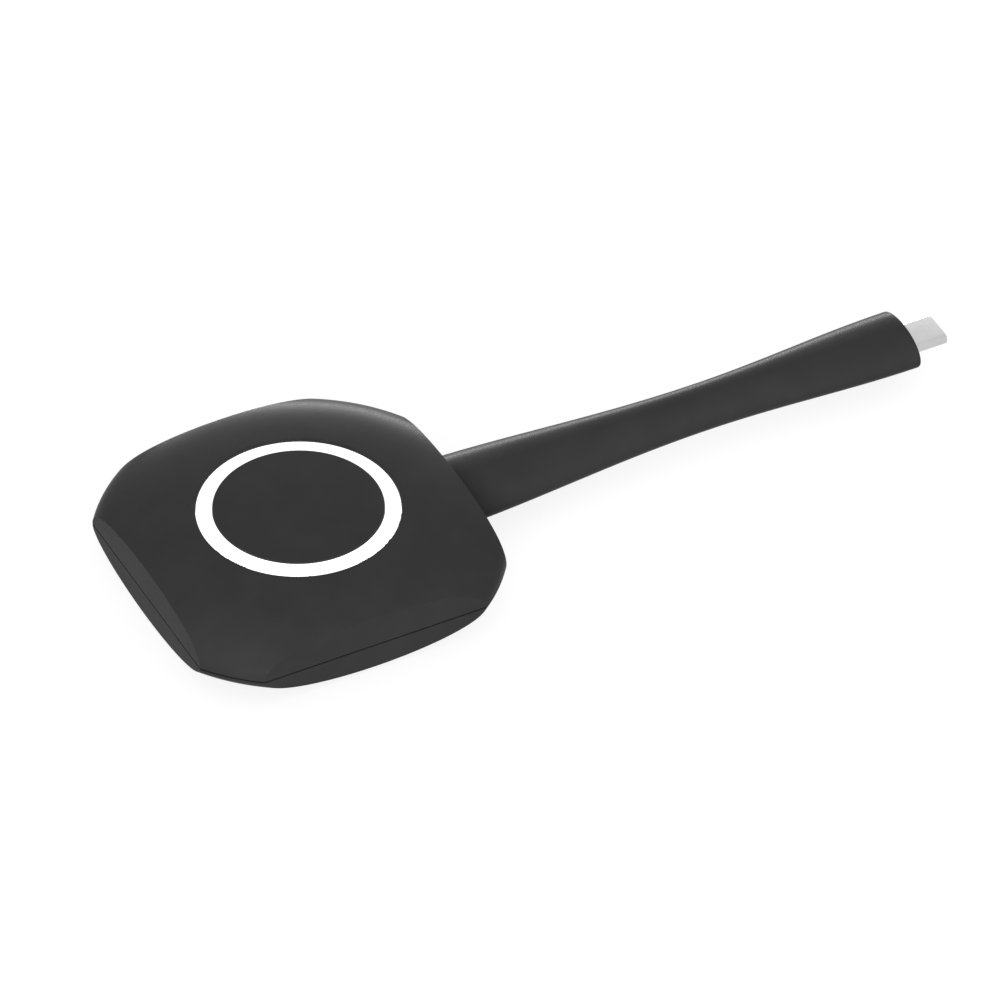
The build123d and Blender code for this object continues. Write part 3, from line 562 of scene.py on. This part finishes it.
# Boards: green solder mask over glass laminate. The copper tracks show through it as lighter lines,
# and plated holes as small bright dots. The main board is clamped between sleeves and posts.
MASK = (0.008, 0.09, 0.03, 1)
TRACK = (0.02, 0.17, 0.055, 1)
PLATED = (0.62, 0.5, 0.24, 1)
TRACK_ROW = 0.55 * MM
TRACK_RUN = 4.5 * MM
TRACK_WIDTH = 0.16 * MM
TRACK_STAGGER = 0.37
TRACK_SOFTNESS = 0.2
TRACK_STRENGTH = 0.3
TRACK_RELIEF = 0.03 * MM
COPPER_PATCH = 7 * MM
HOLE_PITCH = 3.2 * MM
HOLE_RADIUS = 0.22 * MM
HOLE_METALLIC = 0.9
MASK_GRAIN = 0.6 * MM
MASK_ROUGHNESS = (0.26, 0.36)

mask = Skin("solder_mask")
layout = {"offset": TRACK_STAGGER, "squash": 1.0}
courses = {
    "Vector": mask.place,
    "Scale": 1.0,
    "Mortar Size": TRACK_WIDTH / 2,
    "Mortar Smooth": TRACK_SOFTNESS,
    "Brick Width": TRACK_RUN,
    "Row Height": TRACK_ROW,
}
tracks = mask.node("ShaderNodeTexBrick", layout, courses, "Fac")
fields = mask.spread(mask.grain(COPPER_PATCH, detail=1.0), 0.0, 1.0)
spots = {"Vector": mask.place, "Scale": 1 / HOLE_PITCH}
from_hole = mask.node("ShaderNodeTexVoronoi", {"feature": "F1"}, spots, "Distance")
holes = from_hole < HOLE_RADIUS / HOLE_PITCH
copper = mask.mixed(tracks * fields, MASK, TRACK)
solder_mask = mask.surface(
    Base_Color=mask.mixed(holes, copper, PLATED),
    Metallic=holes * HOLE_METALLIC,
    Roughness=mask.spread(mask.grain(MASK_GRAIN), *MASK_ROUGHNESS),
    Normal=mask.relief(tracks * fields * (1 - holes), TRACK_STRENGTH, TRACK_RELIEF),
)
dress(solder_mask, "main_board", "radio_module", "plug_paddle_board")


# Chips: moulded black epoxy packages, reflowed onto the board. The processor, memory and flash are
# under it, and the drivers are on top.
EPOXY = (0.025, 0.025, 0.027, 1)
DRIVER_TINT = 1.2
EPOXY_GRAIN = {"grain_size": 0.12 * MM, "grain_depth": 0.012 * MM}

chip_epoxy = moulded("chip_epoxy", EPOXY, roughness=0.55, **EPOXY_GRAIN)
driver_epoxy = moulded("driver_epoxy", tinted(EPOXY, DRIVER_TINT), roughness=0.5, **EPOXY_GRAIN)
dress(chip_epoxy, "soc_chip", "memory_chips", "flash_chip")
dress(driver_epoxy, "driver_chips")


# Shields and crystal: folded or drawn tinned steel sheet. The radio's shield is soldered over its
# module, and the plug's can is lapped onto the plug's shell.
TIN = (0.72, 0.72, 0.73, 1)

tinned_steel = metal("tinned_steel", TIN, roughness=0.3, streak=0.4, depth=0.004 * MM)
dress(tinned_steel, "radio_shield", "plug_backshell", "crystal")


# Small parts: two power coils with their windings moulded into ferrite, and small fired ceramic
# capacitors, all soldered to the board.
FERRITE = (0.06, 0.06, 0.065, 1)
CERAMIC = (0.45, 0.36, 0.26, 1)

ferrite = moulded("ferrite", FERRITE, roughness=0.6, grain_size=0.2 * MM, grain_depth=0.02 * MM)
fired_ceramic = moulded(
    "fired_ceramic", CERAMIC, roughness=0.5, grain_size=0.15 * MM, grain_depth=0.008 * MM
)
dress(ferrite, "power_coils")
dress(fired_ceramic, "passives")


# Gold-flashed brass: two stamped antennas that stand on the board's edges, and the plug's two rows
# of spring contacts.
GOLD = (0.83, 0.66, 0.33, 1)

gold_flash = metal("gold_flash", GOLD, roughness=0.28, streak=0.2, depth=0.003 * MM)
dress(gold_flash, "antenna_left", "antenna_right", "plug_contacts")


# Switch: a black moulded body on the board with a white plunger, which its collar keeps in. The
# button's boss presses it.
SWITCH_BLACK = (0.03, 0.03, 0.03, 1)
WHITE_RESIN = (0.82, 0.82, 0.8, 1)

white_resin = moulded(
    "white_resin", WHITE_RESIN, roughness=0.45, grain_size=0.3 * MM, grain_depth=0.01 * MM
)
switch_resin = moulded(
    "switch_resin", SWITCH_BLACK, roughness=0.5, grain_size=0.2 * MM, grain_depth=0.01 * MM
)
dress(switch_resin, "switch_body")
dress(white_resin, "switch_plunger")


# Reflector and lamps: a white moulded frame that stands on the board and carries the light ring,
# with a surface-mounted lamp in each cell, clear resin over yellow phosphor.
PHOSPHOR = (0.9, 0.78, 0.4, 1)

lamp_resin = moulded(
    "lamp_resin", PHOSPHOR, roughness=0.2, grain_size=0.5 * MM, grain_depth=0.005 * MM
)
dress(white_resin, "led_reflector")
dress(lamp_resin, "ring_leds")


# Header and connector: off-white moulded nylon. The header is soldered to the board, and the
# connector on the cable's end plugs into it.
NYLON = (0.78, 0.77, 0.72, 1)

nylon = moulded("nylon", NYLON, roughness=0.5, grain_size=0.3 * MM, grain_depth=0.012 * MM)
dress(nylon, "board_header", "cable_connector")


# Upper shell: moulded in the same plastic as the lower one, with a rebate for its lip and a round
# opening whose edge is softened. Its four posts take the screws that come up through the board.
POST_TOP = SEAM_Z + 8 * MM
SCREW_FIT = 0.03 * MM
SCREW_LENGTH = 8 * MM
RING_DIAMETER = 42.0 * MM
OPENING_ROUND = 0.1 * MM

upper_shell = pebble("upper_shell", 0, SEAM_Z + SEAM_GROOVE / 2, ABOVE_ALL)
rebate = pebble("rebate", WALL - LIP, SEAM_Z - LIP_HEIGHT, SEAM_Z + LIP_HEIGHT + FIT)
combined(upper_shell, rebate, "DIFFERENCE")
combined(upper_shell, pebble("upper_hollow", WALL, 0, ABOVE_ALL), "DIFFERENCE")
posts = at_screws("posts", POST_DIAMETER / 2, BOARD_TOP, POST_TOP)
combined(upper_shell, posts, "UNION")
bore_end = BOARD_TOP + SCREW_LENGTH
bores = at_screws("bores", SCREW_DIAMETER / 2 + SCREW_FIT, BOARD_TOP - WALL, bore_end)
combined(upper_shell, bores, "DIFFERENCE")
opening = rod("opening", RING_DIAMETER / 2 + FIT, SEAM_Z, ABOVE_ALL)
combined(upper_shell, opening, "DIFFERENCE")
combined(upper_shell, neck_hole(), "DIFFERENCE")


def round_the_opening(edge):
    """The opening's outer edge."""
    reach = max(corner.co.xy.length for corner in edge.verts)
    height = min(corner.co.z for corner in edge.verts)
    return reach < RING_DIAMETER / 2 + 2 * FIT and height > SEAM_Z + CROWN_RISE - WALL


rounded(upper_shell, OPENING_ROUND, round_the_opening, segments=2)
settle(upper_shell, "puck", housing_plastic, ["top_housing"])


# Light ring: translucent white plastic with softened edges, lit evenly by the lamps under it. Its
# flange is trapped between the upper shell's edge and the reflector.
RING_WIDTH = 3.2 * MM
RING_BORE = RING_DIAMETER - 2 * RING_WIDTH
RING_INNER_TOP = SEAM_Z + 10.3 * MM
RING_OUTER_TOP = SEAM_Z + 9.65 * MM
RING_UNDER = RING_INNER_TOP - 4.1 * MM
RING_FLANGE = 2.2 * MM
RING_FLANGE_TOP = RING_UNDER + 1.2 * MM
RING_SOFTENED = 0.12 * MM
RING_TONE = 0.9
RING_GRAIN = 0.3 * MM
RING_ROUGHNESS = (0.3, 0.42)
RING_STRENGTH = 0.2
RING_RELIEF = 0.01 * MM
RING_PATCH = 6 * MM
RING_DIMMEST = 0.96

glow = Skin("ring_glow")
frosted = glow.grain(RING_GRAIN, FINE_DETAIL)
lit_share = glow.spread(glow.grain(RING_PATCH), 0.0, 1.0)
ring_glow = glow.surface(
    Base_Color=grey(RING_TONE),
    Roughness=glow.spread(frosted, *RING_ROUGHNESS),
    Normal=glow.relief(frosted, RING_STRENGTH, RING_RELIEF),
    Emission_Color=glow.mixed(lit_share, grey(RING_DIMMEST), grey(1.0)),
    Emission_Strength=1.0,
)

ring_outline = [
    (RING_BORE / 2, RING_UNDER),
    (RING_BORE / 2, RING_INNER_TOP),
    (RING_DIAMETER / 2, RING_OUTER_TOP),
    (RING_DIAMETER / 2, RING_FLANGE_TOP),
    (RING_DIAMETER / 2 + RING_FLANGE, RING_FLANGE_TOP),
    (RING_DIAMETER / 2 + RING_FLANGE, RING_UNDER),
]
glow_ring = turned("glow_ring", ring_outline, closed=True)


def round_the_ring(edge):
    """The two round edges of the ring that show."""
    heights = [corner.co.z for corner in edge.verts]
    return abs(heights[0] - heights[1]) < WELD and min(heights) > RING_OUTER_TOP - WELD


rounded(glow_ring, RING_SOFTENED, round_the_ring, segments=2)
settle(glow_ring, "puck", ring_glow, ["light_ring"])


# Button: a crowned cap in the same plastic as the shells, moulded a little finer. It slides in the
# light ring, and its hooks are held in the reflector.
BUTTON_TINT = 0.98

button_plastic = moulded(
    "button_plastic",
    tinted(PLASTIC, BUTTON_TINT),
    roughness=PLASTIC_ROUGHNESS,
    grain_size=0.25 * MM,
    grain_depth=0.015 * MM,
    shine=PLASTIC_SHINE,
)
dress(button_plastic, "button_cap")


# Stem: one soft-touch rubber moulding over the cable, oval in section and waisted. The shells hold
# it by its flange, and its end is crowned round the plug.
FLANGE_LENGTH = 3 * MM
FLANGE_X = PUCK_FLAT / 2 - WALL - FIT - FLANGE_LENGTH
FLANGE_WIDTH = 19 * MM
FLANGE_THICK = 8.2 * MM
STEM_ROOT = PUCK_FLAT / 2 + FIT
STEM_END = 140.6 * MM
STEM_CROWN = 1.0 * MM
ROOT_WIDTH = 19.8 * MM
ROOT_THICK = 9.9 * MM
ROOT_AT = 26 * MM
WAIST_WIDTH = 11.5 * MM
WAIST_THICK = 8.4 * MM
WAIST_AT = 93 * MM
END_WIDTH = 16.7 * MM
END_THICK = 8.9 * MM
STEM_SECTIONS = 72
CROWN_SECTIONS = 8
CROWN_POWER = 3
END_SOFTENED = 0.25 * MM
CABLE_BORE = 4.1 * MM
MOULD_LENGTH = 15 * MM
MOULD_WIDTH = 10.4 * MM
MOULD_HEIGHT = 4.7 * MM
MOULD_CORNER = 1.4 * MM
MOULD_INSET = 1.0 * MM
MOULD_X = STEM_END - MOULD_INSET - MOULD_LENGTH
PLUG_TIP = 149.2 * MM
PLUG_LENGTH = 11.2 * MM
PLUG_ROOT = PLUG_TIP - PLUG_LENGTH
PLUG_WIDTH = 8.25 * MM
PLUG_HEIGHT = 2.4 * MM
PLUG_CORNER = 1.0 * MM
PLUG_FORM = (PLUG_ROOT, PLUG_LENGTH, PLUG_WIDTH, PLUG_HEIGHT, PLUG_CORNER)
CORNER_SEGMENTS = 10
STEM_RUBBER = (0.0435, 0.0435, 0.044, 1)


def eased(share):
    """A smooth step from 0 to 1."""
    return (1 - cos(pi * share)) / 2


def stem_size(x, root, waist, end):
    """The stem's width or thickness at x."""
    if x < WAIST_AT:
        return waist + (root - waist) * eased((WAIST_AT - x) / (WAIST_AT - ROOT_AT))
    return waist + (end - waist) * eased((x - WAIST_AT) / (STEM_END - WAIST_AT))


stem_stations = [
    (FLANGE_X, FLANGE_WIDTH, FLANGE_THICK),
    (FLANGE_X + FLANGE_LENGTH, FLANGE_WIDTH, FLANGE_THICK),
    (FLANGE_X + FLANGE_LENGTH, NECK_WIDTH, NECK_THICK),
    (STEM_ROOT, NECK_WIDTH, NECK_THICK),
]
for section in range(STEM_SECTIONS + 1):
    x = STEM_ROOT + (STEM_END - STEM_ROOT) * section / STEM_SECTIONS
    width = stem_size(x, ROOT_WIDTH, WAIST_WIDTH, END_WIDTH)
    stem_stations.append((x, width, stem_size(x, ROOT_THICK, WAIST_THICK, END_THICK)))
for section in range(1, CROWN_SECTIONS):
    share = 1 - section / CROWN_SECTIONS
    x = STEM_END + STEM_CROWN * (1 - share**CROWN_POWER)
    stem_stations.append((x, END_WIDTH * share, END_THICK * share))

deselect()
bpy.ops.mesh.primitive_circle_add(
    vertices=OVAL_SIDES,
    radius=1,
    fill_type="NGON",
    location=(FLANGE_X, 0, AXIS_Z),
    rotation=(0, QUARTER_TURN, 0),
)
soft_stem = bpy.context.object
soft_stem.name = "soft_stem"
soft_stem.scale = (FLANGE_THICK / 2, FLANGE_WIDTH / 2, 1)
bpy.ops.object.transform_apply(location=True, rotation=True, scale=True)
bpy.ops.object.mode_set(mode="EDIT")
bpy.ops.mesh.select_all(action="SELECT")
for (x, width, thick), (next_x, next_width, next_thick) in zip(stem_stations, stem_stations[1:]):
    bpy.ops.mesh.extrude_region_move(TRANSFORM_OT_translate={"value": (next_x - x, 0, 0)})
    bpy.ops.transform.resize(
        value=(1, next_width / width, next_thick / thick), center_override=(next_x, 0, AXIS_Z)
    )
bpy.ops.mesh.select_all(action="SELECT")
bpy.ops.mesh.normals_make_consistent(inside=False)
bpy.ops.object.mode_set(mode="OBJECT")


def round_the_end(edge):
    """The oval edge where the stem's side turns into its crowned end."""
    return all(abs(corner.co.x - STEM_END) < WELD for corner in edge.verts)


def lying_block(name, start, length, width, height, corner):
    """A bar along X on the plug's axis, with rounded long edges."""
    deselect()
    bpy.ops.mesh.primitive_cube_add(size=1, location=(start + length / 2, 0, SEAM_Z))
    made = bpy.context.object
    made.name = name
    made.scale = (length, width, height)
    bpy.ops.object.transform_apply(location=True, rotation=True, scale=True)
    bpy.ops.object.mode_set(mode="EDIT")
    choose_edges(lambda edge: abs(edge.verts[0].co.x - edge.verts[1].co.x) > length / 2)
    bpy.ops.mesh.bevel(offset=corner, segments=CORNER_SEGMENTS, affect="EDGES")
    bpy.ops.object.mode_set(mode="OBJECT")
    return made


rounded(soft_stem, END_SOFTENED, round_the_end, segments=3)
bore_middle = (MOULD_X + FLANGE_X) / 2 - WALL
bore_length = MOULD_X - FLANGE_X + 2 * WALL
cable_bore = lying_oval(
    "cable_bore", CABLE_BORE, CABLE_BORE, bore_middle, bore_length, SMALL_SIDES
)
combined(soft_stem, cable_bore, "DIFFERENCE")
mould_seat = lying_block(
    "mould_seat", MOULD_X, MOULD_LENGTH, MOULD_WIDTH, MOULD_HEIGHT, MOULD_CORNER
)
combined(soft_stem, mould_seat, "DIFFERENCE")
combined(soft_stem, lying_block("plug_sleeve", *PLUG_FORM), "DIFFERENCE")
stem_rubber = moulded(
    "stem_rubber",
    STEM_RUBBER,
    roughness=PLASTIC_ROUGHNESS,
    grain_size=0.4 * MM,
    grain_depth=0.02 * MM,
    shine=PLASTIC_SHINE,
)
settle(soft_stem, "puck", stem_rubber, ["stem_overmould"])


# Cable and inner mould: an extruded black jacket through the stem, and the hard plastic moulded
# round the shielding can where the cable meets the plug.
JACKET = (0.035, 0.035, 0.036, 1)
HARD_MOULD = (0.1, 0.1, 0.1, 1)
SMOOTH = {"roughness": 0.5, "grain_size": 0.3 * MM, "grain_depth": 0.01 * MM}

dress(moulded("cable_jacket", JACKET, **SMOOTH), "data_cable")
dress(moulded("hard_mould", HARD_MOULD, **SMOOTH), "plug_inner_mould")


# Plug: a seamless tube of bright drawn stainless steel with rounded sides and a smooth mouth, over a
# black moulded core with spring-steel latches at its ends.
PLUG_WALL = 0.3 * MM
MOUTH_SOFTENED = 0.1 * MM
SHARP_ANGLE = radians(57)
STEEL = (0.55, 0.55, 0.556, 1)
CORE = (0.03, 0.03, 0.03, 1)

plug_steel = metal("plug_steel", STEEL, roughness=0.34, streak=0.05, depth=0.004 * MM)
plug_core = moulded("plug_core", CORE, roughness=0.45, grain_size=0.2 * MM, grain_depth=0.008 * MM)

steel_plug = lying_block("steel_plug", *PLUG_FORM)
plug_bore = lying_block(
    "plug_bore",
    PLUG_ROOT - WALL,
    PLUG_LENGTH + 2 * WALL,
    PLUG_WIDTH - 2 * PLUG_WALL,
    PLUG_HEIGHT - 2 * PLUG_WALL,
    PLUG_CORNER - PLUG_WALL,
)
combined(steel_plug, plug_bore, "DIFFERENCE")


def round_the_mouth(edge):
    """The inner and outer edges of the plug's mouth."""
    at_tip = all(corner.co.x > PLUG_TIP - WELD for corner in edge.verts)
    return at_tip and edge.calc_face_angle(0) > SHARP_ANGLE


rounded(steel_plug, MOUTH_SOFTENED, round_the_mouth, segments=3)
settle(steel_plug, "puck", plug_steel, ["plug_shell"])
dress(plug_steel, "plug_latches")
dress(plug_core, "plug_insulator")
